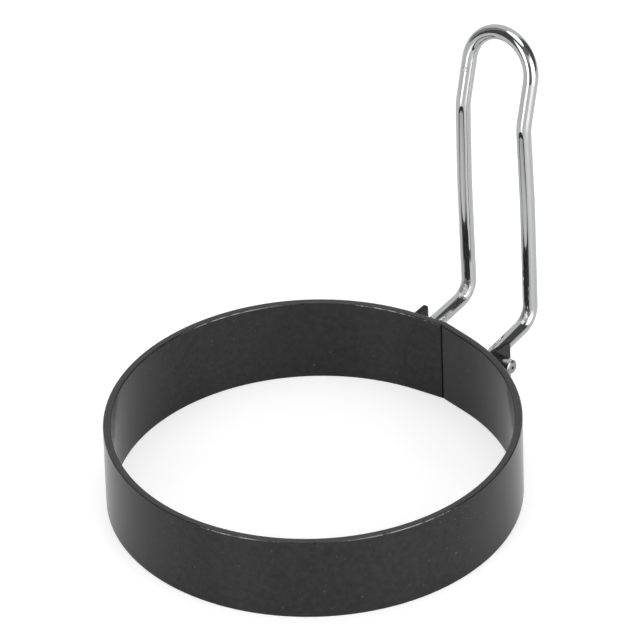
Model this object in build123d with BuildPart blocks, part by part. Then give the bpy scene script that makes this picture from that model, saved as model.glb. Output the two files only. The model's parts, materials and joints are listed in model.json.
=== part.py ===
from build123d import *
import os
from math import cos, radians, sin, tan

# Egg ring with a folding wire handle, in millimetres.
# The origin lies on the ring's axis, on the surface that the ring stands on. +Z is up.
# The handle is at +Y, its hinge axis runs along X, and the YZ plane is the plane of symmetry.

# Ring band: a steel strip rolled into a ring, with its two ends butt welded under the handle bracket.
ring_diameter = 90.0
ring_height = 19.7
band_wall = 1.65
rim_edge_radius = 0.4
# The rolls leave each end of the strip straight, from this angle to the seam onwards.
seam_straight_angle = 9.0
# The weld leaves a groove between the ends inside the ring, and a finer one outside.
seam_groove_width = 0.4
seam_groove_depth = 0.5
outer_groove_width = 0.25
outer_groove_depth = 0.2

# Handle bracket: a plate across the seam, with an ear bent out at each end for the wire's feet.
# It stops a little above the ring's lower rim, and its holes are near its top.
bracket_thickness = 1.0
bracket_drop = 4.25
bracket_clear_foot = 0.45
hinge_drop = 3.8
bracket_inside_bend_radius = 0.8
bracket_edge_radius = 0.25
ear_half_span = 12.0
ear_splay = 4.0
ear_lip = 1.62
ear_corner_radius = 0.8
weld_mark_radius = 1.6
weld_mark_depth = 0.12
weld_mark_offset = 4.4

# Wire handle: one round wire, bent into a U whose feet turn outward through the bracket's ears.
wire_diameter = 3.3
hinge_clearance = 0.08
foot_gap = 1.28
foot_overhang = 3.4
foot_inside_bend_radius = 0.3
foot_tip_chamfer = 0.35
foot_tip_dimple_radius = 0.3
# The elbow is where the wire turns from the hinge up into the legs.
elbow_reach = 14.6
elbow_rise = 2.2
elbow_inside_bend_radius = 2.55
# Up from the elbow, the legs lean in a little to the crook, and the loop leans out from there.
leg_lean = 1.2
crook_rise = 50.3
crook_bend_radius = 12.0
loop_lean = 14.0
loop_straight = 10.85
# Each leg is drawn in a little at the elbow, bows out at its middle, and is drawn in again at the loop.
elbow_draw_in = 0.25
middle_bow = 0.2
middle_rise_share = 0.6
middle_bend_radius = 300.0
loop_draw_in = 0.4

# Sizes that more than one piece follows
ring_radius = ring_diameter / 2
bore_radius = ring_radius - band_wall
seam_cosine = cos(radians(seam_straight_angle))
seam_slope = tan(radians(seam_straight_angle))
ear_cosine = cos(radians(ear_splay))
ear_slope = tan(radians(ear_splay))
wire_radius = wire_diameter / 2
hinge_hole_radius = wire_radius + hinge_clearance
# The bracket's back bears on the strip's straight ends, so it is bent at the seam as the band is.
back_apex = ring_radius / seam_cosine
back_outer_apex = (ring_radius + bracket_thickness) / seam_cosine
hinge_reach = back_outer_apex + foot_gap + wire_radius
bracket_height = ring_height - bracket_drop - bracket_clear_foot
hinge_height = ring_height - bracket_drop - hinge_drop
ear_tip = hinge_reach + hinge_hole_radius + ear_lip
ear_outside_at_hinge = ear_half_span - (ear_tip - hinge_reach) * ear_slope
os.makedirs("parts", exist_ok=True)


# Ring band
# Each of its outlines is the rolled arc and the two straight ends, which meet at the seam.
inner_apex = bore_radius / seam_cosine

with BuildPart() as ring_band:
    with BuildSketch():
        for radius, mode in ((ring_radius, Mode.ADD), (bore_radius, Mode.SUBTRACT)):
            with BuildLine():
                rolled = CenterArc((0, 0), radius, 90 + seam_straight_angle, 360 - 2 * seam_straight_angle)
                Polyline(rolled @ 0, (0, radius / seam_cosine), rolled @ 1)
            make_face(mode=mode)
    extrude(amount=ring_height)
    rims = ring_band.faces().sort_by(Axis.Z)[0] + ring_band.faces().sort_by(Axis.Z)[-1]
    fillet(rims.edges(), radius=rim_edge_radius)
    # Each groove is a V that is cut from as far outside the wall as it goes into it.
    with BuildSketch():
        with BuildLine():
            mouth = inner_apex - seam_groove_depth
            tip = (0, inner_apex + seam_groove_depth)
            Polyline(tip, (seam_groove_width, mouth), (-seam_groove_width, mouth), tip)
        make_face()
        with BuildLine():
            mouth = back_apex + outer_groove_depth
            tip = (0, back_apex - outer_groove_depth)
            Polyline(tip, (outer_groove_width, mouth), (-outer_groove_width, mouth), tip)
        make_face()
    extrude(amount=ring_height, mode=Mode.SUBTRACT)

ring_band.part.label = "ring_band"
export_step(ring_band.part, "parts/ring_band.step")


# Handle bracket
# Its outline follows the side that faces the band, from one ear's tip to the other's.
ear_root_x = (ear_half_span - (ear_tip - back_apex) * ear_slope) / (1 + seam_slope * ear_slope)
ear_root_y = back_apex - ear_root_x * seam_slope
bracket_outside_bend_radius = bracket_inside_bend_radius + bracket_thickness

with BuildPart() as handle_bracket:
    with BuildSketch(Plane.XY.offset(bracket_clear_foot)):
        with BuildLine():
            FilletPolyline(
                (ear_half_span, ear_tip),
                (ear_root_x, ear_root_y),
                (0, back_apex),
                (-ear_root_x, ear_root_y),
                (-ear_half_span, ear_tip),
                radius=(bracket_outside_bend_radius, 0, bracket_outside_bend_radius),
            )
            offset(amount=bracket_thickness, side=Side.RIGHT, kind=Kind.INTERSECTION)
        make_face()
    extrude(amount=bracket_height)
    tip_faces = handle_bracket.faces().group_by(Axis.Y)[-1]
    fillet(tip_faces.edges().filter_by(Axis.Z, reverse=True), radius=ear_corner_radius)
    outline_faces = handle_bracket.faces().filter_by(Axis.Z) + handle_bracket.faces().group_by(Axis.Y)[-1]
    fillet(outline_faces.edges(), radius=bracket_edge_radius)
    with BuildSketch(Plane.YZ):
        with Locations((hinge_reach, hinge_height)):
            Circle(hinge_hole_radius)
    extrude(amount=ear_half_span, both=True, mode=Mode.SUBTRACT)
    # Each half of the back has a round mark, where it was spot welded to the band.
    weld_mark_height = bracket_clear_foot + bracket_height / 2
    for side in (1, -1):
        facing = (side * seam_slope, 1, 0)
        mark_y = back_outer_apex - weld_mark_offset * seam_slope
        with BuildSketch(Plane((side * weld_mark_offset, mark_y, weld_mark_height), z_dir=facing)):
            Circle(weld_mark_radius)
        extrude(amount=-weld_mark_depth, mode=Mode.SUBTRACT)

handle_bracket.part.label = "handle_bracket"
export_step(handle_bracket.part, "parts/handle_bracket.step")


# Wire handle
# The path of its +X half runs from the tip of the foot up to the start of the loop.
foot_bend_radius = foot_inside_bend_radius + wire_radius
foot_tip_x = ear_outside_at_hinge + foot_overhang
hinge_half_width = ear_outside_at_hinge - bracket_thickness / ear_cosine - foot_bend_radius
elbow_half_width = hinge_half_width - elbow_draw_in
elbow_y = hinge_reach + elbow_reach
elbow_z = hinge_height + elbow_rise
lean_slope = tan(radians(leg_lean))
middle_half_width = elbow_half_width + middle_bow
middle_rise = crook_rise * middle_rise_share
loop_radius = middle_half_width - loop_draw_in
crook_y = elbow_y - crook_rise * lean_slope
crook_z = elbow_z + crook_rise
loop_upward = Vector(0, sin(radians(loop_lean)), cos(radians(loop_lean)))
loop_centre = Vector(0, crook_y, crook_z) + loop_upward * loop_straight
loop_side = Vector(loop_radius, 0, 0)

with BuildPart() as wire_handle:
    with BuildLine() as wire_path:
        half = FilletPolyline(
            (foot_tip_x, hinge_reach, hinge_height),
            (hinge_half_width, hinge_reach, hinge_height),
            (elbow_half_width, elbow_y, elbow_z),
            (middle_half_width, elbow_y - middle_rise * lean_slope, elbow_z + middle_rise),
            (loop_radius, crook_y, crook_z),
            loop_centre + loop_side,
            radius=(
                foot_bend_radius,
                elbow_inside_bend_radius + wire_radius,
                middle_bend_radius,
                crook_bend_radius,
            ),
        )
        mirror(half, about=Plane.YZ)
        loop_top = loop_centre + loop_upward * loop_radius
        ThreePointArc(loop_centre + loop_side, loop_top, loop_centre - loop_side)
    with BuildSketch(Plane(half @ 0, z_dir=half % 0)):
        Circle(wire_radius)
    sweep(path=wire_path.wire())
    foot_tips = wire_handle.faces().filter_by(Axis.X)
    chamfer(foot_tips.edges(), length=foot_tip_chamfer)
    with Locations((foot_tip_x, hinge_reach, hinge_height), (-foot_tip_x, hinge_reach, hinge_height)):
        Sphere(foot_tip_dimple_radius, mode=Mode.SUBTRACT)

wire_handle.part.label = "wire_handle"
export_step(wire_handle.part, "parts/wire_handle.step")
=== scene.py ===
import json
import math

import bpy
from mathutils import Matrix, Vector


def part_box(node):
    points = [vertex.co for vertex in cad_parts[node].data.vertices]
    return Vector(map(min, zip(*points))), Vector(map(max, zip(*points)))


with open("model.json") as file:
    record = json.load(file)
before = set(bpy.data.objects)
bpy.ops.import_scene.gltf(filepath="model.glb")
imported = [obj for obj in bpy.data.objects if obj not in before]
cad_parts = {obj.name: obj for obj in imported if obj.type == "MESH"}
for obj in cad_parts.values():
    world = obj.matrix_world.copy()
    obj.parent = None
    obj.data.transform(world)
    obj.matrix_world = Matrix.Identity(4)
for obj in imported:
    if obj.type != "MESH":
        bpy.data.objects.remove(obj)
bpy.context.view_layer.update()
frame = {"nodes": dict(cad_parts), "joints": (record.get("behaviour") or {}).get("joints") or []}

# Ring band
# The band is a strip of mild steel, rolled into a ring and butt welded where the handle's bracket sits.
# It is sprayed with black non-stick coating, baked on, which hides the steel and rounds the rims.


def linear(colour):
    """A colour's sRGB hex value as the linear colour that a shader takes."""
    parts = [int(colour[i : i + 2], 16) / 255 for i in (1, 3, 5)]
    return [c / 12.92 if c <= 0.04045 else ((c + 0.055) / 1.055) ** 2.4 for c in parts] + [1.0]


def add(tree, kind, inputs=None, **settings):
    """Adds a node with its settings, and gives each named input its value or the socket that feeds it."""
    node = tree.nodes.new(kind)
    for name, value in settings.items():
        setattr(node, name, value)
    for socket, value in (inputs or {}).items():
        if isinstance(value, bpy.types.NodeSocket):
            tree.links.new(value, node.inputs[socket])
        else:
            node.inputs[socket].default_value = value
    return node


def new_surface(name):
    """An empty material, its node tree and its output."""
    surface = bpy.data.materials.new(name)
    surface.use_nodes = True
    surface.node_tree.nodes.clear()
    return surface, surface.node_tree, add(surface.node_tree, "ShaderNodeOutputMaterial")


def per_metre(size_mm):
    """The texture scale that makes a pattern's features the given size."""
    return 1000 / size_mm


# Fluoropolymer coating, sprayed and baked: satin, near black, a little cloudy, with sparse mica flecks and a
# slight orange peel. The real flecks and grain are finer, and are drawn coarser here so that they show.
coating_dark, coating_light = "#1c1c1d", "#262627"
coating_ior = 1.36
coating_roughness = (0.11, 0.15)
cloud_mm, cloud_contrast = 1.6, (0.35, 0.65)
peel_mm, peel_height_mm = 0.7, 0.008
fleck_colour, fleck_mm, fleck_share, fleck_reach = "#6a6a6c", 0.42, 0.015, (0.40, 0.10)
# The rims are painted paler: painted light that stands in for the light falling on the faces that point up.
# The strip's edges were sheared, so the coating is duller and grainy on the rims. The corners beside them are
# rubbed to a broken shine, where the steel nearly shows through. How much the surface faces up or down, from
# 0 on the walls to 1 on the rims, tells where the rims and their corners begin.
rim_painted_light_colour, rim_roughness, rim_tilt = "#3a3a3b", 0.40, (0.80, 0.97)
rim_grain_mm, rim_grain_height_mm = 0.9, 0.080
corner_tilt, corner_end_tilt = (0.15, 0.35), (0.90, 0.75)
shine_colour, shine_mm, shine_share, rim_shine = "#5e5e5e", 2.2, (0.34, 0.48), 0.9


def nonstick_coating(name, dark, light, edge, rubbed):
    """The coating, with its darkest and lightest tone, its tone on the rims, which is painted light on the
    band and painted shade on the bracket, and how far these are rubbed.
    """
    surface, tree, output = new_surface(name)
    where = add(tree, "ShaderNodeTexCoord").outputs
    place = where["Object"]
    facing = add(tree, "ShaderNodeSeparateXYZ", {"Vector": where["Normal"]})
    tilt = add(tree, "ShaderNodeMath", {0: facing.outputs["Z"]}, operation="ABSOLUTE").outputs["Value"]

    clouds = {"Vector": place, "Scale": per_metre(cloud_mm), "Detail": 3.0, "Roughness": 0.75}
    cloud = add(tree, "ShaderNodeTexNoise", clouds).outputs["Fac"]
    cloud = {"Value": cloud, "From Min": cloud_contrast[0], "From Max": cloud_contrast[1]}
    cloud = add(tree, "ShaderNodeMapRange", cloud).outputs["Result"]
    tone = add(tree, "ShaderNodeMixRGB", {"Fac": cloud, "Color1": linear(dark), "Color2": linear(light)})
    mica = add(tree, "ShaderNodeTexVoronoi", {"Vector": place, "Scale": per_metre(fleck_mm)})
    draw = add(tree, "ShaderNodeSeparateColor", {"Color": mica.outputs["Color"]})
    chosen = {"Value": draw.outputs["Red"], "From Min": 1 - fleck_share, "From Max": 1.0}
    chosen = add(tree, "ShaderNodeMapRange", chosen).outputs["Result"]
    near = {"Value": mica.outputs["Distance"], "From Min": fleck_reach[0], "From Max": fleck_reach[1]}
    near = add(tree, "ShaderNodeMapRange", near).outputs["Result"]
    fleck = add(tree, "ShaderNodeMath", {0: chosen, 1: near}, operation="MULTIPLY")
    colour = {"Fac": fleck.outputs["Value"], "Color1": tone.outputs["Color"], "Color2": linear(fleck_colour)}
    colour = add(tree, "ShaderNodeMixRGB", colour).outputs["Color"]
    gloss = {"Value": cloud, "To Min": coating_roughness[0], "To Max": coating_roughness[1]}
    gloss = add(tree, "ShaderNodeMapRange", gloss).outputs["Result"]

    # The rims take the rim tone. On the band it is painted light for the light falling on the up-facing rims;
    # on the bracket it is painted shade for the dark its edges reflect.
    rim = {"Value": tilt, "From Min": rim_tilt[0], "From Max": rim_tilt[1]}
    rim = add(tree, "ShaderNodeMapRange", rim).outputs["Result"]
    colour = {"Fac": rim, "Color1": colour, "Color2": linear(edge)}
    colour = add(tree, "ShaderNodeMixRGB", colour).outputs["Color"]
    gloss = {"Value": rim, "To Min": gloss, "To Max": rim_roughness}
    gloss = add(tree, "ShaderNodeMapRange", gloss).outputs["Result"]

    corner = {"Value": tilt, "From Min": corner_tilt[0], "From Max": corner_tilt[1]}
    corner = add(tree, "ShaderNodeMapRange", corner).outputs["Result"]
    corner_end = {"Value": tilt, "From Min": corner_end_tilt[0], "From Max": corner_end_tilt[1]}
    corner_end = add(tree, "ShaderNodeMapRange", corner_end).outputs["Result"]
    patch = {"Vector": place, "Scale": per_metre(shine_mm), "Detail": 3.0}
    patch = add(tree, "ShaderNodeTexNoise", patch).outputs["Fac"]
    patch = {"Value": patch, "From Min": shine_share[0], "From Max": shine_share[1], "To Max": rubbed}
    patch = add(tree, "ShaderNodeMapRange", patch).outputs["Result"]
    shine = {0: corner, 1: corner_end}
    shine = {0: add(tree, "ShaderNodeMath", shine, operation="MULTIPLY").outputs["Value"], 1: patch}
    shine = add(tree, "ShaderNodeMath", shine, operation="MULTIPLY").outputs["Value"]
    colour = {"Fac": shine, "Color1": colour, "Color2": linear(shine_colour)}
    colour = add(tree, "ShaderNodeMixRGB", colour).outputs["Color"]

    peel = add(tree, "ShaderNodeTexNoise", {"Vector": place, "Scale": per_metre(peel_mm), "Detail": 2.0})
    relief = {"Height": peel.outputs["Fac"], "Strength": 1.0, "Distance": peel_height_mm / 1000}
    relief = add(tree, "ShaderNodeBump", relief).outputs["Normal"]
    grain = {"Vector": place, "Scale": per_metre(rim_grain_mm), "Detail": 3.0}
    grain = add(tree, "ShaderNodeTexNoise", grain).outputs["Fac"]
    torn = {
        "Height": grain,
        "Strength": corner,
        "Distance": rim_grain_height_mm / 1000,
        "Normal": relief,
    }
    relief = add(tree, "ShaderNodeBump", torn).outputs["Normal"]
    skin = {
        "Base Color": colour,
        "Metallic": shine,
        "Roughness": gloss,
        "IOR": coating_ior,
        "Normal": relief,
    }
    shader = add(tree, "ShaderNodeBsdfPrincipled", skin)
    tree.links.new(shader.outputs["BSDF"], output.inputs["Surface"])
    return surface


def finish_node(node, surface):
    """Gives a piece of the frame its material."""
    piece = frame["nodes"][node]
    piece.data.materials.clear()
    piece.data.materials.append(surface)


band_coating = nonstick_coating("baked_nonstick_coating", coating_dark, coating_light, rim_painted_light_colour, rim_shine)
finish_node("ring_band", band_coating)

# Handle bracket
# The bracket is one pressed strip of steel: a back that is spot welded across the seam, and two ears.
# It went through the same coating as the band, drawn a shade paler on its faces, and its corners are not
# rubbed.
# Its rims are painted near black: painted shade that stands in for the dark that the ears' edges reflect.
# The bracket's rim tone is painted shade, near black.
bracket_dark, bracket_light, bracket_rim_painted_shade, bracket_shine = "#1f1f20", "#292929", "#080809", 0.0

bracket_coating = nonstick_coating(
    "baked_nonstick_coating_on_pressed_strip", bracket_dark, bracket_light, bracket_rim_painted_shade, bracket_shine
)
finish_node("handle_bracket", bracket_coating)

# Wire handle
# The handle is one length of drawn steel wire, bent cold and then chrome plated over nickel.
# Its feet sprang outward into the ears' holes when it was fitted, and hold it there.
# Bright chrome plate on drawn wire: mirror-like with a faint haze, and with long low waves where the wire
# was straightened.
chrome_colour, chrome_metallic, chrome_roughness = "#c1c2c2", 0.97, 0.06
wave_mm, wave_height_mm = 7.0, 0.005
# The feet were sheared before the plating, which leaves their ends greyer and grainy. The dark pit in the
# middle of each end is painted shade, standing in for the shade in a dimple that the shape does not have. The
# grain is drawn coarser than the real one, so that it shows.
end_colour, end_roughness, end_depth_mm = "#a2a2a3", 0.36, (0.45, 0.30)
end_grain_mm, end_grain_height_mm = 0.5, 0.10
pit_painted_shade_colour, pit_reach_mm = "#2c2c2c", (0.50, 0.30)
# The bending tool crumpled the inside of each elbow and creased one leg near its foot, and the loop has a
# nick. The plate is duller there. Each mark has its place from the hinge, its reach, and the size and height
# of its creases. The core is the share of its reach within which it has its full strength.
marks_mm = (
    ((-7.8, 12.4, 4.3), 2.6, 0.50, 0.16),
    ((7.8, 12.4, 4.3), 2.6, 0.50, 0.16),
    ((-6.3, 6.1, 0.9), 2.2, 0.42, 0.09),
    ((-7.9, 14.0, 61.0), 0.9, 0.4, 0.12),
)
crease_colour, crease_roughness, crease_core = "#c0c0c1", 0.38, 0.5

plated_wire, tree, output = new_surface("chrome_plated_drawn_wire")
place = add(tree, "ShaderNodeTexCoord").outputs["Object"]
axes = add(tree, "ShaderNodeSeparateXYZ", {"Vector": place}).outputs
hinge = Vector(frame["joints"][0]["pos_m"])
foot_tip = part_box("wire_handle")[1][0]

side = add(tree, "ShaderNodeMath", {0: axes["X"]}, operation="ABSOLUTE")
end = {
    "Value": side.outputs["Value"],
    "From Min": foot_tip - end_depth_mm[0] / 1000,
    "From Max": foot_tip - end_depth_mm[1] / 1000,
}
end = add(tree, "ShaderNodeMapRange", end).outputs["Result"]
across = add(tree, "ShaderNodeCombineXYZ", {"Y": axes["Y"], "Z": axes["Z"]}).outputs["Vector"]
away = add(tree, "ShaderNodeVectorMath", {0: across, 1: hinge}, operation="DISTANCE").outputs["Value"]
# Painted shade: a dark spot on each foot's axis, where the end's dimple would hold shade.
pit = {"Value": away, "From Min": pit_reach_mm[0] / 1000, "From Max": pit_reach_mm[1] / 1000}
pit = add(tree, "ShaderNodeMapRange", pit)
end_and_painted_pit = {"Fac": pit.outputs["Result"], "Color1": linear(end_colour), "Color2": linear(pit_painted_shade_colour)}
end_and_painted_pit = add(tree, "ShaderNodeMixRGB", end_and_painted_pit)
colour = {"Fac": end, "Color1": linear(chrome_colour), "Color2": end_and_painted_pit.outputs["Color"]}
colour = add(tree, "ShaderNodeMixRGB", colour).outputs["Color"]
gloss = {"Value": end, "To Min": chrome_roughness, "To Max": end_roughness}
gloss = add(tree, "ShaderNodeMapRange", gloss).outputs["Result"]

reliefs = [(1.0, wave_mm, wave_height_mm), (end, end_grain_mm, end_grain_height_mm)]
for from_hinge, reach, size_mm, height_mm in marks_mm:
    centre = hinge + Vector(from_hinge) / 1000
    away = add(tree, "ShaderNodeVectorMath", {0: place, 1: centre}, operation="DISTANCE").outputs["Value"]
    near = {"Value": away, "From Min": reach / 1000, "From Max": crease_core * reach / 1000}
    near = add(tree, "ShaderNodeMapRange", near).outputs["Result"]
    reliefs.append((near, size_mm, height_mm))
    gloss = {"Value": near, "To Min": gloss, "To Max": crease_roughness}
    gloss = add(tree, "ShaderNodeMapRange", gloss).outputs["Result"]
    colour = {"Fac": near, "Color1": colour, "Color2": linear(crease_colour)}
    colour = add(tree, "ShaderNodeMixRGB", colour).outputs["Color"]
relief = None
for strength, size_mm, height_mm in reliefs:
    bumps = add(tree, "ShaderNodeTexNoise", {"Vector": place, "Scale": per_metre(size_mm), "Detail": 1.0})
    bumps = {"Height": bumps.outputs["Fac"], "Strength": strength, "Distance": height_mm / 1000}
    if relief:
        bumps["Normal"] = relief
    relief = add(tree, "ShaderNodeBump", bumps).outputs["Normal"]
plate = {
    "Base Color": colour,
    "Metallic": chrome_metallic,
    "Roughness": gloss,
    "Normal": relief,
}
shader = add(tree, "ShaderNodeBsdfPrincipled", plate)
tree.links.new(shader.outputs["BSDF"], output.inputs["Surface"])
finish_node("wire_handle", plated_wire)

# Camera
# It stands where the photograph's camera stood, two metres off with a long lens, and tilts a little.
camera_azimuth = 40.7
camera_elevation = 35.93
camera_distance = 2.00475
camera_roll = -1.872
camera_aim = Vector((0.001717, 0.001477, 0.045295))
camera_lens_mm = 523.39

camera = bpy.data.objects.new("camera", bpy.data.cameras.new("camera"))
bpy.context.scene.collection.objects.link(camera)
azimuth, elevation = math.radians(camera_azimuth), math.radians(camera_elevation)
camera.location = camera_distance * Vector(
    (
        math.sin(azimuth) * math.cos(elevation),
        -math.cos(azimuth) * math.cos(elevation),
        math.sin(elevation),
    )
)
camera.rotation_euler = (camera_aim - camera.location).to_track_quat("-Z", "Y").to_euler()
camera.rotation_euler.rotate_axis("Z", math.radians(camera_roll))
camera.data.lens = camera_lens_mm
bpy.context.scene.camera = camera

# Studio
# The ring stands near the front edge of a white table in a white room. Two softboxes stand left and right
# of the camera, with dark cards beside, between and above them that give the plated wire its dark lines.
table_front, table_back, table_half_width = 0.46, 0.75, 0.80
table_colour = "#d2d2d2"
table_roughness, table_ior = 0.22, 1.45
table_glow_seen, table_glow_mirrored = 0.58, 0.31

front_corners = [(-table_half_width, -table_front, 0), (table_half_width, -table_front, 0)]
back_corners = [(table_half_width, table_back, 0), (-table_half_width, table_back, 0)]
table_mesh = bpy.data.meshes.new("table")
table_mesh.from_pydata(front_corners + back_corners, [], [(0, 1, 2, 3)])
table = bpy.data.objects.new("table", table_mesh)
table.rotation_euler.z = azimuth
bpy.context.scene.collection.objects.link(table)

# White laminate, which mirrors the softboxes and the cards a little at a low angle. Its glow is the white
# of the background, and lies lower in the metal, where the photograph shows the table shaded.
table_top, tree, output = new_surface("white_laminate_table_top")
rays = add(tree, "ShaderNodeLightPath").outputs
mirrored = {0: rays["Is Glossy Ray"], 1: rays["Is Transmission Ray"]}
mirrored = add(tree, "ShaderNodeMath", mirrored, operation="MAXIMUM").outputs["Value"]
mirrored = {0: mirrored, 1: table_glow_mirrored}
mirrored = add(tree, "ShaderNodeMath", mirrored, operation="MULTIPLY").outputs["Value"]
glow = {0: rays["Is Camera Ray"], 1: table_glow_seen, 2: mirrored}
glow = add(tree, "ShaderNodeMath", glow, operation="MULTIPLY_ADD")
sheet = {
    "Base Color": linear(table_colour),
    "Roughness": table_roughness,
    "IOR": table_ior,
    "Emission Color": linear("#ffffff"),
    "Emission Strength": glow.outputs["Value"],
}
sheet = add(tree, "ShaderNodeBsdfPrincipled", sheet)
tree.links.new(sheet.outputs["BSDF"], output.inputs["Surface"])
table_mesh.materials.append(table_top)

room = bpy.data.worlds.new("white_room")
room.use_nodes = True
room.node_tree.nodes.clear()
output = add(room.node_tree, "ShaderNodeOutputWorld")
walls = add(room.node_tree, "ShaderNodeBackground", {"Strength": 1.0})
room.node_tree.links.new(walls.outputs["Background"], output.inputs["Surface"])
bpy.context.scene.world = room

# Each panel is a piece of a sphere round the ring. Its edges are turns from the camera, to the right, and
# heights above the ring, in degrees. Then come how bright its edge and its middle look.
panel_distance = 1.8
panel_centre = Vector((0, 0, 0.04))
panel_step = 4.0
panels = {
    "left_softbox": ((-57, -25), (-14, 45), 0.7, 6.8),
    "right_softbox": ((13, 73), (-14, 42), 0.7, 6.2),
    "left_card": ((-97, -57), (-14, 66), 0.07, 0.07),
    "left_screen": ((-132, -97), (-14, 66), 0.30, 0.30),
    "right_card": ((73, 135), (-14, 66), 0.07, 0.07),
    "middle_card": ((-25, 13), (-14, 27), 0.16, 0.16),
    "upper_card": ((-25, 13), (27, 45), 0.45, 0.45),
    "canopy": ((-57, 73), (45, 66), 0.17, 0.17),
    "overhead_softbox": ((0, 360), (66, 90), 1.9, 1.9),
}

panel_light, tree, output = new_surface("lit_panel")
level = add(tree, "ShaderNodeAttribute", attribute_name="level")
lit = add(tree, "ShaderNodeEmission", {"Strength": level.outputs["Fac"]})
tree.links.new(lit.outputs["Emission"], output.inputs["Surface"])


def studio_panel(name, turns, heights, edge, middle):
    """A panel that lights the ring and shows in its metal, but not to the camera."""
    columns = round((turns[1] - turns[0]) / panel_step)
    rows = round((heights[1] - heights[0]) / panel_step)
    corners, levels, faces = [], [], []
    for row in range(rows + 1):
        up = row / rows
        height = math.radians(heights[0] + (heights[1] - heights[0]) * up)
        for column in range(columns + 1):
            across = column / columns
            heading = azimuth + math.radians(turns[0] + (turns[1] - turns[0]) * across)
            toward = Vector((math.sin(heading), -math.cos(heading), 0)) * math.cos(height)
            corners.append(panel_centre + panel_distance * (toward + Vector((0, 0, math.sin(height)))))
            hump = math.sin(math.pi * across) * math.sin(math.pi * up)
            levels.append(edge + (middle - edge) * hump)
            if row < rows and column < columns:
                first = row * (columns + 1) + column
                faces.append((first, first + 1, first + columns + 2, first + columns + 1))
    mesh = bpy.data.meshes.new(name)
    mesh.from_pydata(corners, [], faces)
    mesh.attributes.new("level", "FLOAT", "POINT").data.foreach_set("value", levels)
    mesh.materials.append(panel_light)
    panel = bpy.data.objects.new(name, mesh)
    bpy.context.scene.collection.objects.link(panel)
    panel.visible_camera = False


for name, shape in panels.items():
    studio_panel(name, *shape)

bpy.context.scene.view_settings.view_transform = "Standard"
